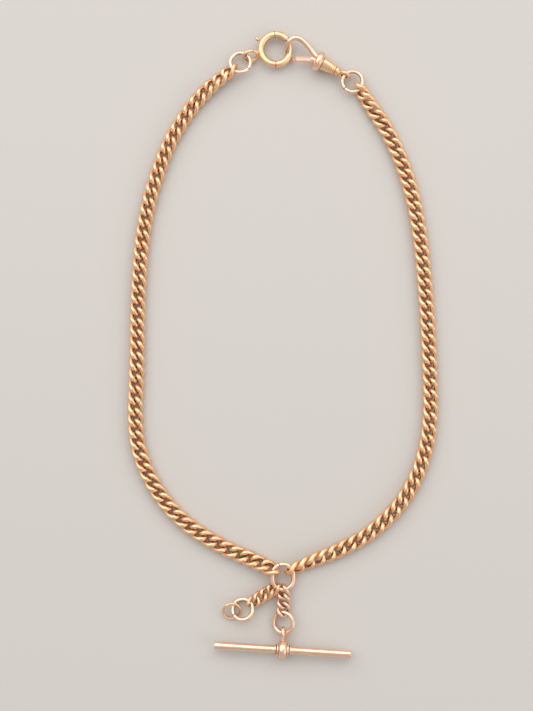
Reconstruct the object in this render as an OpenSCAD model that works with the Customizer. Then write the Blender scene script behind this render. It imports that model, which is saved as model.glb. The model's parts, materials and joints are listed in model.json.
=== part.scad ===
// Single Albert pocket watch chain, laid out flat with its clasp fastened.
// +Z is up, the chain rests on z = 0, and +Y points from the T-bar to the clasp.

/* [Curb links] */
// Wire diameter of a link at mid chain
link_wire = 1.34; // [1.2:0.02:1.34]
// Outer width of a link at mid chain
link_width = 4.78; // [4.7:0.02:4.9]
// Length of the gap that lets neighbouring links move
link_slack = 0.24; // [0.2:0.02:0.26]
// Angle that each end of a link is twisted out of flat
link_twist = 50; // [48:1:52]
// How much the left strand's pitch grows or shrinks towards its ends, as a fraction
left_grade = 0.04; // [0:0.01:0.05]
// The same for the right strand
right_grade = 0.015; // [0:0.005:0.03]

/* [Drop links] */
// Wire diameter of a link in the two short drops
drop_wire = 1; // [0.9:0.02:1.04]
// Outer width of a drop link
drop_width = 4.2; // [4.1:0.1:4.4]

/* [Rings] */
// Wire diameter of the two jump rings at the clasp
jump_wire = 1.1; // [0.9:0.1:1.1]
// Radius of a jump ring's wire centre
jump_radius = 2.95; // [2.9:0.05:3]
// Wire diameter of the rings on the two drops
drop_ring_wire = 1.2; // [1:0.02:1.2]
// Radius of a drop ring's wire centre
drop_ring_radius = 3; // [2.95:0.05:3.05]
// Wire diameter of the oval junction ring
junction_wire = 1.34; // [1.2:0.02:1.34]
// Wire diameter of the thin ring at the end of the fob drop
split_wire = 0.76; // [0.6:0.02:0.8]

/* [Bolt ring] */
// Radius of the bolt ring's tube centre
bolt_ring_radius = 4.35; // [4.3:0.05:4.4]
// Outer radius of the tube
tube_radius = 1; // [0.9:0.05:1]
// Thickness of the tube's wall
tube_wall = 0.28; // [0.2:0.02:0.3]
// Radius of the sliding bolt
bolt_radius = 0.5; // [0.4:0.02:0.52]

/* [Swivel clip] */
// Radius of the round collar behind the hook
collar_radius = 3; // [2.8:0.1:3]
// Thickness of the collar
collar_width = 2.4; // [2.2:0.1:2.4]
// Length of the tapered barrel
barrel_length = 4.2; // [4:0.1:4.3]
// Radius of the swivel post
post_radius = 0.6; // [0.5:0.05:0.6]

/* [T-bar] */
// Whole length of the bar
bar_length = 40.2; // [38:0.1:42]
// Radius of the bar
bar_radius = 1.15; // [1:0.05:1.2]
// Outer radius of the bead at the middle
bead_radius = 2.75; // [2.6:0.05:2.8]
// Width of the bead
bead_width = 2.3; // [2:0.1:2.4]

/* [Hidden] */
$fn = 48;
gold = [0.83, 0.63, 0.38];
rose_gold = [0.82, 0.58, 0.44];
spring_steel = [0.55, 0.53, 0.5];

// Where the layout's own middle sits, so that the origin is under the middle of the whole chain
layout_middle = [0.09, 0.32, 0];

// The pitch at which the wire, width and slack above are the real ones
base_pitch = 3.28;
drop_pitch = 2.6;
link_rings = 14;
link_sides = 6;
side_swell = 0.85;

left_count = 54;
right_count = 51;
// Where each strand is divided into pieces that fold: the first link of every piece
left_starts = [0, 8, 12, 16, 20, 24, 28, 32, 35, 38];
right_starts = [0, 5, 9, 13, 17, 21, 25, 28, 31, 34];

// Route of each strand, from its jump ring down to the junction ring
left_route = [
    [-15.4, 80.55], [-22.5, 74.7], [-28.3, 67.7], [-33.3, 59.2], [-37.2, 49], [-39.6, 40.3],
    [-41.1, 31.3], [-42, 20.8], [-42.5, 10.5], [-42.6, 0], [-42.9, -10], [-43.2, -20],
    [-42.3, -29.5], [-39.2, -38], [-34, -46.2], [-27, -53], [-18.3, -58.4], [-9.6, -62.3], [-3.5, -65.1]
];
right_route = [
    [23.05, 74.8], [25.6, 70.8], [30.4, 63.6], [34.7, 54.6], [37.6, 45.8], [39.6, 36.6],
    [41, 26.6], [41.9, 16.2], [42.6, 6.2], [43.1, -4], [43.4, -13], [43.2, -22],
    [41.8, -31], [38.3, -40.3], [32.4, -48.8], [24.2, -55.8], [15.6, -60.2], [9.2, -62.7], [3.5, -65.1]
];
t_drop_route = [[0.35, -71.95], [0.3, -77.25]];
fob_drop_route = [[-2.35, -70.95], [-8.75, -75.05]];

// Turn of each link about its own length, counted in from the strand's two ends
left_turn_in = [50, 37, 25, 12];
left_turn_out = [-38, -25, -12];
right_turn_in = [58, 43, 28, 14];
right_turn_out = [-60, -48, -36, -24, -12];
t_turns = [38, 14, -10];
fob_turns = [45, 22, -1, -24];

// Height of the wire centres of the rings that the strands end in
ring_height = 2.25;

// ---- Curves ----

function smooth_point(p0, p1, p2, p3, t) =
    0.5 * (2 * p1 + (p2 - p0) * t
        + (2 * p0 - 5 * p1 + 4 * p2 - p3) * t * t
        + (3 * p1 - p0 - 3 * p2 + p3) * t * t * t);

// A smooth curve through every point of a route
function smooth_route(route, steps) =
    let (
        last = len(route) - 1,
        before = 2 * route[0] - route[1],
        after = 2 * route[last] - route[last - 1]
    )
    [
        for (i = [0:last - 1], j = [0:steps - 1])
            smooth_point(
                i == 0 ? before : route[i - 1], route[i], route[i + 1],
                i == last - 1 ? after : route[i + 2], j / steps
            ),
        route[last]
    ];

function running_length(points, i = 0, so_far = [0]) =
    i >= len(points) - 1
        ? so_far
        : running_length(points, i + 1, concat(so_far, [so_far[i] + norm(points[i + 1] - points[i])]));

function unit(v) = v / norm(v);

// ---- One curb link ----

// Sign-keeping power, which swells an oval's corners
function swell(v) = sign(v) * pow(abs(v), side_swell);

// A point on the link's wire centre: an oval whose two ends are turned opposite ways about its length
function link_point(half_length, half_width, t) =
    let (turn = -link_twist * sin(90 * cos(t)), across = half_width * swell(sin(t)))
    [half_length * swell(cos(t)), across * cos(turn), across * sin(turn)];

// How high the wire centre rises when the link is turned about its length
function link_rise(half_width, turn) =
    max([for (t = [0:5:360])
        let (p = link_point(1, half_width, t))
        p[1] * sin(turn) + p[2] * cos(turn)]);

// Corners of a ring of wire round each point of the link
function link_corners(half_length, half_width, wire) = [
    for (i = [0:link_rings - 1])
        let (
            t = 360 * i / link_rings,
            here = link_point(half_length, half_width, t),
            along = unit(link_point(half_length, half_width, t + 1) - link_point(half_length, half_width, t - 1)),
            out = unit(here - along * (here * along)),
            side = cross(along, out)
        )
        for (j = [0:link_sides - 1])
            here + wire / 2 * (cos(360 * j / link_sides) * out + sin(360 * j / link_sides) * side)
];

// Faces of one closed tube of rings, numbered from a first corner
function loop_faces(rings, sides, first) = [
    for (i = [0:rings - 1], j = [0:sides - 1])
        let (
            a = first + i * sides,
            b = first + ((i + 1) % rings) * sides,
            k = (j + 1) % sides
        )
        each [[a + j, b + j, b + k], [a + j, b + k, a + k]]
];

// Moves a corner from a link's own axes to its place: centre, length direction and turn
function place(p, centre, along, turn) =
    let (
        x = unit(along),
        flat = unit(cross([0, 0, 1], x)),
        up = cross(x, flat),
        y = flat * cos(turn) + up * sin(turn),
        z = up * cos(turn) - flat * sin(turn)
    )
    centre + x * p[0] + y * p[1] + z * p[2];

// ---- Strands ----

// Turn of link k among count links
function turn_of(k, count, turn_in, turn_out) =
    k < len(turn_in) ? turn_in[k]
        : k >= count - len(turn_out) ? turn_out[count - 1 - k]
        : 0;

// Every link of a strand as [centre, direction, turn, size against a mid-chain link]
function strand_links(route, count, grade, turn_in, turn_out) =
    let (
        points = smooth_route(route, 8),
        lengths = running_length(points),
        whole = lengths[len(lengths) - 1],
        xs = [for (i = [0:len(points) - 1]) [lengths[i], points[i][0]]],
        ys = [for (i = [0:len(points) - 1]) [lengths[i], points[i][1]]],
        low = link_rise((link_width - link_wire) / 2, 0) + link_wire / 2
    )
    [
        for (k = [0:count - 1])
            let (
                u = k / (count - 1),
                s = whole * (u * (1 - grade) + grade * u * u),
                size = whole / (count - 1) * (1 - grade + 2 * grade * u) / base_pitch,
                turn = turn_of(k, count, turn_in, turn_out),
                near = max(0, 5 - min(k, count - 1 - k)) / 5,
                before = max(0, s - 1),
                after = min(whole, s + 1),
                slope = k < 5 ? -1 : k > count - 6 ? 1 : 0,
                resting = size * (link_rise((link_width - link_wire) / 2, turn) + link_wire / 2),
                height = max(resting, low + (ring_height - low) * near)
            )
            [
                [lookup(s, xs), lookup(s, ys), height],
                [
                    lookup(after, xs) - lookup(before, xs),
                    lookup(after, ys) - lookup(before, ys),
                    slope * (ring_height - low) / 5 * (after - before) / base_pitch
                ],
                turn,
                size
            ]
    ];

// One polyhedron with a closed shell for each link
module links(list, wire, width, pitch) {
    sets = [
        for (link = list)
            let (
                w = wire * link[3],
                half_length = (pitch * link[3] + w + link_slack * link[3]) / 2,
                half_width = (width * link[3] - w) / 2
            )
            [for (p = link_corners(half_length, half_width, w)) place(p, link[0], link[1], link[2])]
    ];
    polyhedron(
        points = [for (set = sets) each set],
        faces = [for (i = [0:len(sets) - 1]) each loop_faces(link_rings, link_sides, i * link_rings * link_sides)]
    );
}

left_links = strand_links(left_route, left_count, left_grade, left_turn_in, left_turn_out);
right_links = strand_links(right_route, right_count, right_grade, right_turn_in, right_turn_out);

function piece_of(list, starts, n) =
    [for (k = [starts[n - 1]:(n < len(starts) ? starts[n] : len(list)) - 1]) list[k]];

module left_strand(n) {
    color(gold) placed() links(piece_of(left_links, left_starts, n), link_wire, link_width, base_pitch);
}

module right_strand(n) {
    color(gold) placed() links(piece_of(right_links, right_starts, n), link_wire, link_width, base_pitch);
}

// Link k of a short straight drop of equal links
function drop_link(route, turns, k) =
    let (
        step = (route[1] - route[0]) / (len(turns) - 1),
        spot = route[0] + step * k
    )
    [[spot[0], spot[1], ring_height - 0.1], [step[0], step[1], 0], turns[k], norm(step) / drop_pitch];

module t_drop_link(n) {
    color(rose_gold) placed() links([drop_link(t_drop_route, t_turns, n - 1)], drop_wire, drop_width, drop_pitch);
}

module fob_drop_link(n) {
    color(gold) placed() links([drop_link(fob_drop_route, fob_turns, n - 1)], drop_wire, drop_width, drop_pitch);
}

// ---- Rings ----

// Shifts the layout so that the origin is under its middle
module placed() {
    translate(-layout_middle) children();
}

// A round wire ring, tilted about a level line that points at heading
module wire_ring(centre, radius, wire, heading = 0, tilt = 0) {
    translate(centre)
        rotate(a = tilt, v = [cos(heading), sin(heading), 0])
            rotate_extrude()
                translate([radius, 0])
                    circle(wire / 2);
}

// A wire loop of two half circles joined by straight sides along X
module long_loop(straight, radius, wire) {
    for (end = [0, 1])
        rotate([0, 0, 180 * end]) {
            translate([straight / 2, 0, 0])
                rotate_extrude(angle = 180, start = -90)
                    translate([radius, 0])
                        circle(wire / 2);
            translate([-straight / 2, radius, 0])
                rotate([0, 90, 0])
                    cylinder(r = wire / 2, h = straight);
        }
}

junction_straight = 1.3;
junction_radius = 3.05;
split_radius = 2.53;
// The cut in the thin ring
split_gap = 6;
split_from = 109;

module junction_ring() {
    color(rose_gold) placed()
        translate([0.12, -67.62, ring_height])
            rotate([0, 0, 90])
                long_loop(junction_straight, junction_radius, junction_wire);
}

module t_drop_ring() {
    color(rose_gold) placed() wire_ring([0.25, -81, 2.2], drop_ring_radius, drop_ring_wire, 90, -20);
}

module fob_drop_ring() {
    color(rose_gold) placed() wire_ring([-11.68, -77.18, 2.05], drop_ring_radius, drop_ring_wire, 34, -20);
}

// The thin ring is cut through, so that it can be opened
module split_ring() {
    color(gold) placed()
        translate([-14.85, -77.7, 1.75])
            rotate(a = 24, v = [1, 0.2, 0])
                rotate_extrude(angle = 360 - split_gap, start = split_from)
                    translate([split_radius, 0])
                        circle(split_wire / 2);
}

module jump_ring_left() {
    color(rose_gold) placed() wire_ring([-12.35, 83, 2.2], jump_radius, jump_wire, 14, -10);
}

module jump_ring_right() {
    color(rose_gold) placed() wire_ring([20.5, 77.4, 2.25], jump_radius, jump_wire);
}

// ---- T-bar ----

bar_middle = [0, -88.85, bead_radius];
bar_heading = -3.7;
bar_gap = 0.05;
bar_collar_width = 0.75;
bar_step_width = 0.4;
bar_wall = 0.3;
cap_depth = 0.5;
bar_collar_radius = 1.95;
bar_step_radius = 1.5;

// Local frame with the bar along X
module bar_frame() {
    placed() translate(bar_middle) rotate([0, 0, bar_heading]) children();
}

module bar_tube() {
    color(rose_gold) bar_frame()
        rotate([0, 90, 0])
            difference() {
                cylinder(r = bar_radius, h = bar_length, center = true);
                cylinder(r = bar_radius - bar_wall, h = bar_length + 1, center = true);
            }
}

module bar_end_caps() {
    color(rose_gold) bar_frame()
        for (end = [-1, 1])
            translate([end * (bar_length - cap_depth) / 2, 0, 0])
                rotate([0, 90, 0])
                    cylinder(r = bar_radius - bar_wall, h = cap_depth, center = true);
}

// A stepped collar on each side keeps the bead in the middle of the bar
module bar_collars() {
    color(rose_gold) bar_frame()
        for (side = [0, 1])
            rotate([0, 0, 180 * side])
                translate([bead_width / 2 + bar_gap, 0, 0])
                    rotate([0, 90, 0])
                        difference() {
                            union() {
                                cylinder(r = bar_collar_radius, h = bar_collar_width);
                                cylinder(r = bar_step_radius, h = bar_collar_width + bar_step_width);
                            }
                            cylinder(r = bar_radius, h = 4 * bar_collar_width, center = true);
                        }
}

module bar_bead() {
    color(rose_gold) bar_frame()
        rotate([0, 90, 0])
            rotate_extrude()
                difference() {
                    union() {
                        translate([bead_radius - bead_width / 2, 0])
                            circle(bead_width / 2);
                        translate([0, -bead_width / 2])
                            square([bead_radius - bead_width / 2, bead_width]);
                    }
                    translate([-1, -bead_width])
                        square([bar_radius + bar_gap + 1, 2 * bead_width]);
                }
}

bar_eye_spot = [0.12, -84.1, 2.2];
bar_eye_radius = 1.5;
bar_eye_wire = 1.16;
bar_stem_spot = [0.12, -86.4, 2.45];
bar_stem_radius = 0.72;
bar_stem_length = 0.75;

// The upright eye that the T-bar hangs from, with its short stem
module bar_eye() {
    color(rose_gold) placed() {
        translate(bar_eye_spot)
            rotate([0, 90, 0])
                rotate_extrude()
                    translate([bar_eye_radius, 0])
                        circle(bar_eye_wire / 2);
        translate(bar_stem_spot)
            rotate([-90, 0, 0])
                cylinder(r = bar_stem_radius, h = bar_stem_length);
    }
}

// ---- Bolt ring ----

ring_spot = [-1.96, 86.9, 2.15];
housing_from = 94;
housing_to = 270;
sleeve_from = 42;
arm_to = -21;
slot_from = 147;
slot_to = 188;
bolt_tip = -29;
bolt_tail = 146;
knob_at = 151;
knob_reach = 6.25;
spring_to = 260;
knob_radius = 0.6;
knob_stem_radius = 0.22;
slot_width = 0.6;
// The slot is cut through the tube's wall from here outwards
slot_depth_from = 0.45;

module ring_frame() {
    placed() translate(ring_spot) children();
}

module bent_rod(from, to, radius) {
    rotate_extrude(angle = to - from, start = from)
        translate([bolt_ring_radius, 0])
            circle(radius);
}

module bent_tube(from, to) {
    rotate_extrude(angle = to - from, start = from)
        translate([bolt_ring_radius, 0])
            difference() {
                circle(tube_radius);
                circle(tube_radius - tube_wall);
            }
}

// The hollow half that holds the spring, slotted outside for the thumb knob
module bolt_ring_housing() {
    color(gold) ring_frame()
        difference() {
            bent_tube(housing_from, housing_to);
            rotate_extrude(angle = slot_to - slot_from, start = slot_from)
                translate([bolt_ring_radius + slot_depth_from, -slot_width / 2])
                    square([tube_radius, slot_width]);
        }
}

module bolt_ring_sleeve() {
    color(gold) ring_frame() bent_tube(sleeve_from, housing_from);
}

module bolt_ring_arm() {
    color(gold) ring_frame() bent_tube(-90, arm_to);
}

module bolt() {
    color(gold) ring_frame() bent_rod(bolt_tip, bolt_tail, bolt_radius);
}

// The knob's stem runs out through the slot from a small foot on the bolt's tail
module thumb_knob() {
    color(gold) ring_frame()
        rotate([0, 0, knob_at]) {
            translate([knob_reach, 0, 0])
                sphere(knob_radius);
            translate([bolt_ring_radius, 0, 0])
                rotate([0, 90, 0])
                    cylinder(r = knob_stem_radius, h = knob_reach - bolt_ring_radius);
        }
}

spring_turns = 9;
spring_steps = 9;
spring_sides = 4;
spring_wire = 0.1;
spring_from = knob_at + 3;
coil_radius = 0.5;

function spring_bend(i) =
    spring_from + (spring_to - spring_from) * i / (spring_turns * spring_steps);

// Direction from the tube's curved centre line out to point i of the coil
function spring_out(i) =
    let (coil = 360 * i / spring_steps)
    [cos(coil) * cos(spring_bend(i)), cos(coil) * sin(spring_bend(i)), sin(coil)];

function spring_point(i) =
    bolt_ring_radius * [cos(spring_bend(i)), sin(spring_bend(i)), 0] + coil_radius * spring_out(i);

// Corners of a tube of wire along an open curve: its points, a wire radius at each, and a direction that
// the wire's first side leans to at each
function wire_corners(points, radii, leans, sides) = [
    for (i = [0:len(points) - 1])
        let (
            along = unit(points[min(i + 1, len(points) - 1)] - points[max(i - 1, 0)]),
            side = unit(cross(leans[i], along)),
            up = cross(along, side)
        )
        for (j = [0:sides - 1])
            points[i] + radii[i] * (cos(360 * j / sides) * side + sin(360 * j / sides) * up)
];

function wire_faces(rings, sides) = concat(
    [for (i = [0:rings - 2], j = [0:sides - 1])
        let (k = (j + 1) % sides)
        each [
            [i * sides + j, (i + 1) * sides + j, (i + 1) * sides + k],
            [i * sides + j, (i + 1) * sides + k, i * sides + k]
        ]],
    [[for (j = [0:sides - 1]) j]],
    [[for (j = [0:sides - 1]) rings * sides - 1 - j]]
);

module wire_along(points, radii, leans, sides) {
    polyhedron(points = wire_corners(points, radii, leans, sides), faces = wire_faces(len(points), sides));
}

module bolt_spring() {
    count = spring_turns * spring_steps;
    points = [for (i = [0:count]) spring_point(i)];
    leans = [for (i = [0:count]) spring_out(i)];
    color(spring_steel) ring_frame()
        wire_along(points, [for (p = points) spring_wire], leans, spring_sides);
}

// ---- Connector between the bolt ring and its jump ring ----

connector_straight = 1;
connector_radius = 1.6;
connector_wire = 0.84;
// The soldered block on the loop, its middle along the straight side, and how far it hangs outwards
connector_block = [0.9, 1.2, 1.24];
connector_block_at = 0.45;
connector_block_drop = 0.12;

module connector_frame() {
    placed()
        translate([-9.4, 84.95, 2.15])
            rotate([0, 0, 14])
                rotate([45, 0, 0])
                    children();
}

module connector_loop() {
    color(gold) connector_frame() long_loop(connector_straight, connector_radius, connector_wire);
}

// A small square collar soldered round the loop's near side
module connector_collar() {
    color(gold) connector_frame()
        translate([connector_block_at, -connector_radius, 0])
            difference() {
                translate([0, -connector_block_drop, 0])
                    cube(connector_block, center = true);
                rotate([0, 90, 0])
                    cylinder(r = connector_wire / 2, h = 2 * connector_block[0], center = true);
            }
}

// ---- Swivel clip ----

collar_spot = [10.58, 83.24, collar_radius];
clip_heading = -27.4;
clip_dip = 4.7;
eye_reach = 8.6;
eye_radius = 1.3;
eye_wire = 0.92;
eye_turn = 68;
neck_from = 6.1;
neck_radius = 1.35;
neck_length = 0.8;
barrel_wall_end = 0.8;
barrel_wall_start = 0.3;
barrel_big_radius = 2;
barrel_small_radius = 1.45;
barrel_bore = 1.1;
post_head_radius = 1;
post_head_length = 0.6;
running_gap = 0.05;
pin_spot = [-1.95, -0.35, 0];
pin_radius = 0.24;
pin_length = 1.58;
cheek = [1.6, 0.9, 0.34];
cheek_middle = [-1.6, -0.35, 0.62];
tongue_turn = 27.4;
tongue_size = [4.75, 1.28, 0.8];
tongue_side = -0.72;
knuckle_radius = 0.5;
knuckle_bore = 0.28;
leaf_spot = [-1.3, -0.8, -0.35];
leaf = [0.9, 0.1, 0.7];

// Local frame at the collar, with the barrel's axis along X
module clip_frame() {
    placed() translate(collar_spot) rotate([0, clip_dip, clip_heading]) children();
}

// Two cheeks on the collar's front hold the tongue's pin
module hook_collar() {
    color(rose_gold) clip_frame() {
        rotate([0, 90, 0])
            rotate_extrude() {
                translate([collar_radius - collar_width / 2, 0])
                    circle(collar_width / 2);
                translate([0, -collar_width / 2])
                    square([collar_radius - collar_width / 2, collar_width]);
            }
        for (side = [-1, 1])
            difference() {
                translate([cheek_middle[0], cheek_middle[1], side * cheek_middle[2]])
                    cube(cheek, center = true);
                translate(pin_spot)
                    cylinder(r = pin_radius, h = 2 * pin_length, center = true);
            }
    }
}

module tongue_pin() {
    color(rose_gold) clip_frame()
        translate(pin_spot)
            cylinder(r = pin_radius, h = pin_length, center = true);
}

// The tongue closes the hook's mouth and turns inwards on its pin
module tongue() {
    color(rose_gold) clip_frame()
        translate(pin_spot)
            rotate([0, 0, tongue_turn])
                difference() {
                    union() {
                        cylinder(r = knuckle_radius, h = tongue_size[2], center = true);
                        translate([-tongue_size[0], tongue_side, -tongue_size[2] / 2])
                            cube(tongue_size);
                    }
                    cylinder(r = knuckle_bore, h = 2 * tongue_size[2], center = true);
                }
}

// A thin leaf spring lies between the collar's face and the tongue's heel
module tongue_spring() {
    color(spring_steel) clip_frame()
        translate(leaf_spot)
            rotate([0, 0, 90])
                cube(leaf);
}

// Hook wire from the collar, over the bolt, down through the ring and under it to the tip
hook_route = [
    [10.1, 84.4, 3.2], [9.2, 85.4, 3.2], [7.6, 87.5, 3.3], [5.8, 89.2, 3.5], [4, 89.95, 3.7], [2.5, 89.5, 3.75],
    [1.5, 88.4, 3.3], [1.15, 87.2, 2.3], [1.15, 86.1, 1.2], [1.5, 85, 0.62], [2.2, 84.2, 0.5],
    [2.9, 83.8, 1.1], [3.4, 83.75, 2]
];
hook_root_radius = 0.8;
hook_tip_radius = 0.42;
// The hook's wire thins between these shares of its length
hook_taper = [0.33, 0.62];
hook_sides = 10;

// Rises smoothly from 0 to 1 as v goes from a to b
function eased(v, a, b) = let (t = max(0, min(1, (v - a) / (b - a)))) t * t * (3 - 2 * t);

module hook() {
    points = smooth_route(hook_route, 3);
    last = len(points) - 1;
    thinning = hook_tip_radius - hook_root_radius;
    radii = [for (i = [0:last]) hook_root_radius + thinning * eased(i / last, hook_taper[0], hook_taper[1])];
    leans = [for (p = points) [0, 0, 1]];
    color(rose_gold) placed() wire_along(points, radii, leans, hook_sides);
}

// The barrel is drilled from the collar side, and its end wall keeps the post's head in
module swivel_barrel() {
    color(gold) clip_frame()
        translate([collar_width / 2, 0, 0])
            rotate([0, 90, 0])
                difference() {
                    cylinder(r1 = barrel_big_radius, r2 = barrel_small_radius, h = barrel_length);
                    translate([0, 0, barrel_wall_start])
                        cylinder(r = barrel_bore, h = barrel_length - barrel_wall_start - barrel_wall_end);
                    cylinder(r = post_radius + running_gap, h = 2 * barrel_length);
                }
}

// Where the inner face of the barrel's end wall stands along the clip's axis
end_wall_at = collar_width / 2 + barrel_length - barrel_wall_end;

// The post's head turns inside the barrel
module swivel_post() {
    head_at = end_wall_at - 2 * running_gap - post_head_length;
    color(gold) clip_frame()
        rotate([0, 90, 0]) {
            translate([0, 0, head_at])
                cylinder(r = post_head_radius, h = post_head_length);
            translate([0, 0, head_at + post_head_length / 2])
                cylinder(r = post_radius, h = neck_from - head_at - post_head_length / 2);
        }
}

module swivel_eye() {
    color(gold) clip_frame() {
        translate([neck_from, 0, 0])
            rotate([0, 90, 0])
                cylinder(r = neck_radius, h = neck_length);
        translate([eye_reach, 0, 0])
            rotate([eye_turn, 0, 0])
                rotate_extrude()
                    translate([eye_radius, 0])
                        circle(eye_wire / 2);
    }
}

for (n = [1:len(left_starts)])
    left_strand(n);
for (n = [1:len(right_starts)])
    right_strand(n);
for (n = [1:3])
    t_drop_link(n);
for (n = [1:4])
    fob_drop_link(n);
junction_ring();
t_drop_ring();
fob_drop_ring();
split_ring();
bar_eye();
bar_bead();
bar_tube();
bar_collars();
bar_end_caps();
jump_ring_left();
jump_ring_right();
connector_loop();
connector_collar();
bolt_ring_housing();
bolt_ring_sleeve();
bolt_ring_arm();
bolt();
thumb_knob();
bolt_spring();
hook();
hook_collar();
swivel_barrel();
tongue();
tongue_pin();
tongue_spring();
swivel_eye();
swivel_post();
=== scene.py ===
# %% [markdown]
# # A pocket watch chain
#
# A single Albert is worn across a waistcoat. Its T-bar passes through a buttonhole, the watch hangs on the
# swivel clip, and a fob hangs on the short drop. This one lies flat, with its clip hooked into its bolt
# ring.
#
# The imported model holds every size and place. This lesson loads it, makes a finer piece for each visible
# node, and gives the metals their finish. All lengths below are in millimetres until a piece is placed.

import json
import math

import bmesh
import bpy
import numpy as np
from mathutils import Matrix, Vector


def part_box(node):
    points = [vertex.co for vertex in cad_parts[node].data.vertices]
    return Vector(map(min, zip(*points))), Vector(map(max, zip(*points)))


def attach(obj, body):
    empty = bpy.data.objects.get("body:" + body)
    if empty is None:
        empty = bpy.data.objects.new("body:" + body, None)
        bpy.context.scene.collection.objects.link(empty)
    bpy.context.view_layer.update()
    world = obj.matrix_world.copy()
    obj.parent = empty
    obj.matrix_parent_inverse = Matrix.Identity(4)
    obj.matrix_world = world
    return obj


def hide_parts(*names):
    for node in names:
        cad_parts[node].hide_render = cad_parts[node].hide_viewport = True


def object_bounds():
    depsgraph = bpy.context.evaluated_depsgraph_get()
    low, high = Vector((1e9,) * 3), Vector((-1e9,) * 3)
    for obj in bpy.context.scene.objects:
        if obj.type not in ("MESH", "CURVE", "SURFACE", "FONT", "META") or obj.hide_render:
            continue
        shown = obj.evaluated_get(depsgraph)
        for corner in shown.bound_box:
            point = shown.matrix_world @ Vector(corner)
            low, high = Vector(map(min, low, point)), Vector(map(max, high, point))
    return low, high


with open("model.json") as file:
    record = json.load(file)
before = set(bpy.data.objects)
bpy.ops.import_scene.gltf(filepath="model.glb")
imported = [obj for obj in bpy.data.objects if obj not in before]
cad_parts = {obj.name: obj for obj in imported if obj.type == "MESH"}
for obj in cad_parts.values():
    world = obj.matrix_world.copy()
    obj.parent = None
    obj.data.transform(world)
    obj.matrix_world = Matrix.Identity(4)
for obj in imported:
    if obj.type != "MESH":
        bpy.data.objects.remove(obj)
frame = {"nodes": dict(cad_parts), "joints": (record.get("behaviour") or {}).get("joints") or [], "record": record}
cad_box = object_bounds()
nodes = frame["nodes"]
joints = {joint["name"]: joint for joint in frame["joints"]}
body_of = {n: body for body, members in frame["record"]["behaviour"]["bodies"].items() for n in members}
slot_of = {part["node"]: part["material_slot"] for part in frame["record"]["subparts"]}
MM = 0.001

# %% [markdown]
# ## Camera
#
# The chain is seen from straight above, so the camera looks down with no turn at all. The lens is worked
# out from the height that has to fit in the view.

# %% Camera
VIEW_MIDDLE = Vector((-4.78, -3.1, 0)) * MM
VIEW_HEIGHT = 208.3 * MM
WIRE_LEVEL = 2.1 * MM
CAMERA_DISTANCE = 0.42
NEAREST_SEEN = 0.01
SENSOR = 36

camera_data = bpy.data.cameras.new("camera")
camera_data.sensor_fit = "VERTICAL"
camera_data.sensor_height = SENSOR
camera_data.lens = SENSOR * CAMERA_DISTANCE / VIEW_HEIGHT
camera_data.clip_start = NEAREST_SEEN
camera = bpy.data.objects.new("camera", camera_data)
camera.location = VIEW_MIDDLE + Vector((0, 0, WIRE_LEVEL + CAMERA_DISTANCE))
bpy.context.scene.collection.objects.link(camera)
bpy.context.scene.camera = camera
print("camera lens", round(camera_data.lens, 1), "mm")

# %% [markdown]
# ## Light
#
# Gold shows whatever stands round it: a large soft panel on one side gives the broad creamy highlights of a
# worn polish, and a dimmer surround leaves the flanks of each wire deep in colour. One small light alone
# would leave hard white dots.

# %% Lights
CHAIN_MIDDLE = Vector((0, 0, 0))
SURROUND_COLOUR = (1.0, 0.95, 0.9, 1)
SURROUND_STRENGTH = 0.5

# Name, place and width in metres, power in watts, and colour of each panel
PANELS = (
    ("window_panel", (-0.4, 0.6, 0.9), 1.4, 12.0, (1.0, 0.955, 0.9)),
    ("high_panel", (0.55, 0.75, 0.8), 0.7, 3.2, (1.0, 0.96, 0.9)),
    ("soft_fill", (0.8, -0.3, 0.6), 0.8, 2.4, (1.0, 0.95, 0.88)),
)


def softbox(name, place, width, power, colour):
    """A square panel of light at a place, turned to face the chain."""
    data = bpy.data.lights.new(name, "AREA")
    data.size = width
    data.energy = power
    data.color = colour
    lamp = bpy.data.objects.new(name, data)
    lamp.location = place
    lamp.rotation_euler = (CHAIN_MIDDLE - Vector(place)).to_track_quat("-Z", "Y").to_euler()
    bpy.context.scene.collection.objects.link(lamp)


for panel in PANELS:
    softbox(*panel)
bpy.context.scene.view_settings.view_transform = "Standard"

world = bpy.data.worlds.new("surround")
world.use_nodes = True
world.node_tree.nodes["Background"].inputs["Color"].default_value = SURROUND_COLOUR
world.node_tree.nodes["Background"].inputs["Strength"].default_value = SURROUND_STRENGTH
bpy.context.scene.world = world
print("placed", len(PANELS), "panels of light")

# %% [markdown]
# ## Reading places from the model
#
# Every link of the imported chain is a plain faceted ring. Its middle and its three principal directions say
# exactly where the finer link goes, so nothing is measured twice. A link is the same after half a turn
# about any of its axes, so the sign of a direction doesn't matter.

# %% Solids of a node
TOUCHING = 1e-6


def solids_of(node):
    """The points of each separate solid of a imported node, in millimetres."""
    copy = bmesh.new()
    copy.from_mesh(nodes[node].data)
    bmesh.ops.remove_doubles(copy, verts=copy.verts, dist=TOUCHING)
    waiting = set(copy.verts)
    solids = []
    while waiting:
        frontier = [waiting.pop()]
        found = []
        while frontier:
            point = frontier.pop()
            found.append(point.co / MM)
            for edge in point.link_edges:
                other = edge.other_vert(point)
                if other in waiting:
                    waiting.remove(other)
                    frontier.append(other)
        solids.append(np.array(found))
    copy.free()
    return sorted(solids, key=lambda points: tuple(points.mean(axis=0).round(3)))


def own_axes(points):
    """A matrix from a solid's own axes, longest first, to the model."""
    middle = points.mean(axis=0)
    directions = np.linalg.eigh(np.cov((points - middle).T))[1]
    directions = directions[:, ::-1]
    if np.linalg.det(directions) < 0:
        directions[:, 2] *= -1
    place = Matrix(directions.tolist()).to_4x4()
    place.translation = middle
    return place


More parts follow.
